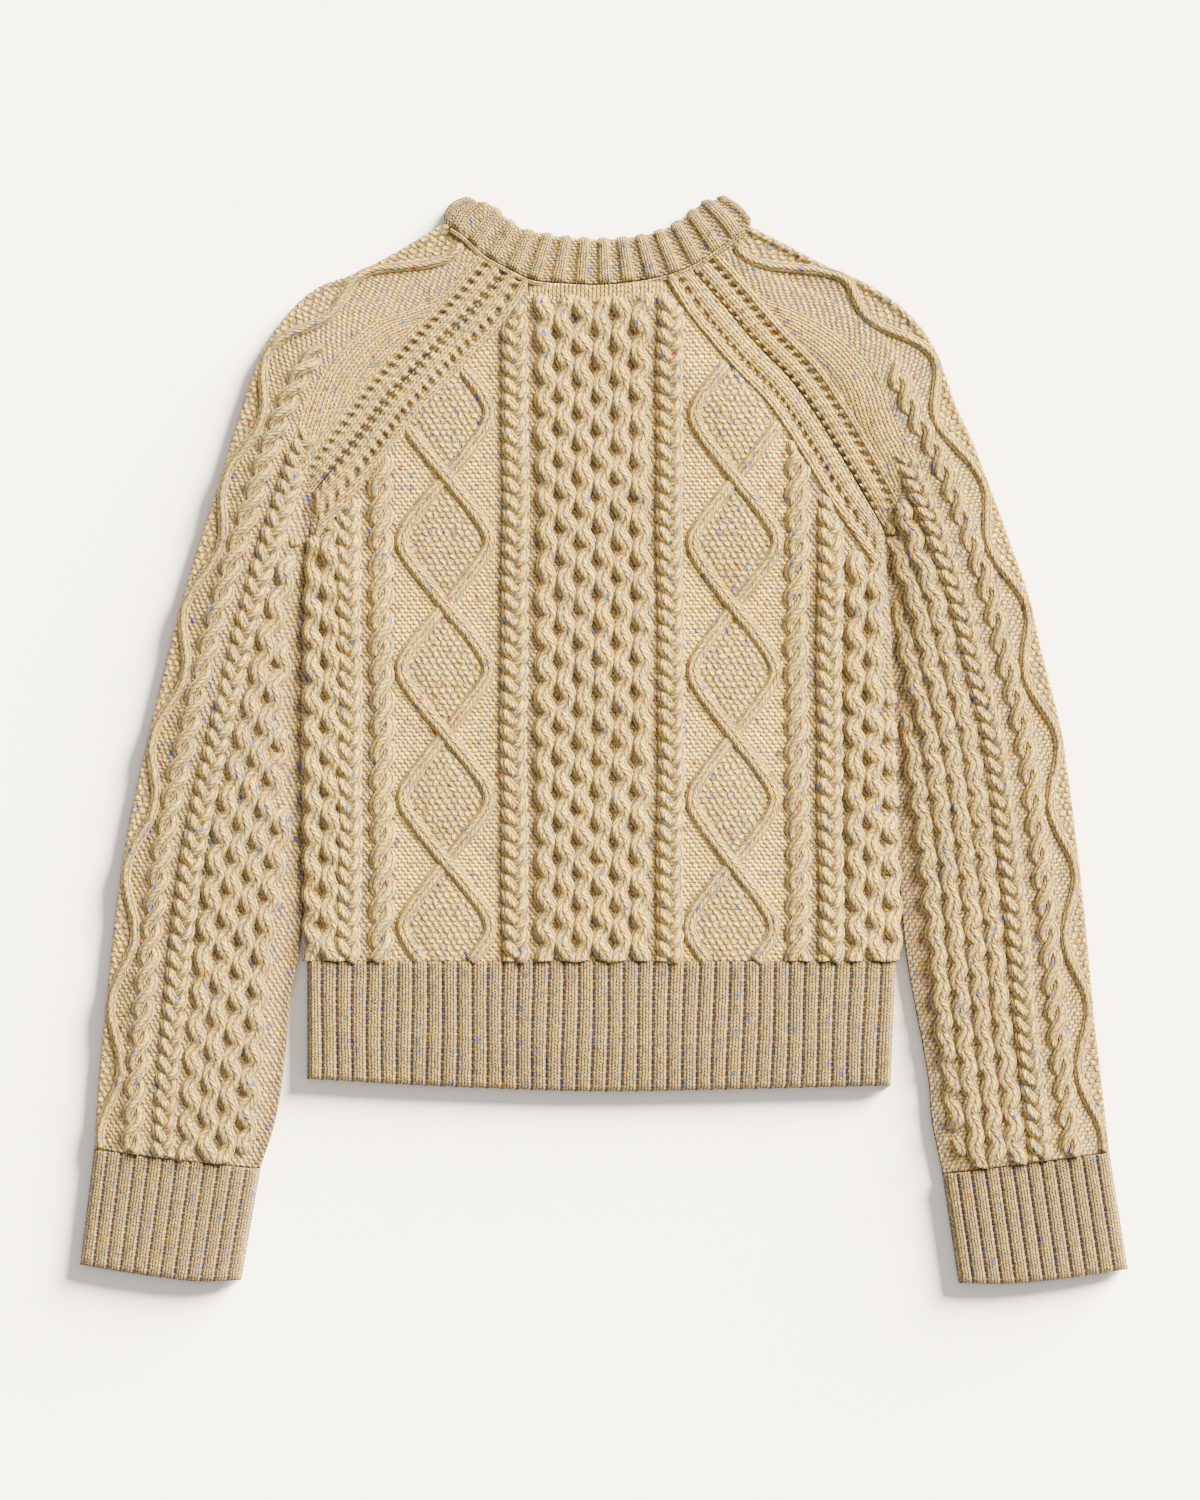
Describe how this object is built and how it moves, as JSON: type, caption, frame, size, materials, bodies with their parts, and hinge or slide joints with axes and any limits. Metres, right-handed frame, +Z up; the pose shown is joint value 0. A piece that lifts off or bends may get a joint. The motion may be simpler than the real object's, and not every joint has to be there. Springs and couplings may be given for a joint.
{
  "type": "cable knit sweater",
  "caption": "Cropped raglan pullover in heavy cable knit, laid flat back side up, with ribbed neckband, cuffs and hem.",
  "frame": {"origin": "middle of the bottom of the bounding box, on the surface that the sweater lies on", "axes": "+Z up from the surface, +Y from the hem to the neck, +X to the right as seen from above, so the back faces up"},
  "size_m": [0.713, 0.7392, 0.01],
  "materials": {
    "knit": "soft matt wool yarn, cream with coloured flecks, cabled",
    "rib": "soft matt wool yarn, cream with coloured flecks, ribbed"
  },
  "bodies": {
    "root": {"back": "knit", "front": "knit", "sleeve_left": "knit", "sleeve_right": "knit", "neckband": "rib", "hem_rib_back": "rib", "hem_rib_front": "rib", "cuff_left": "rib", "cuff_right": "rib"}
  },
  "joints": []
}
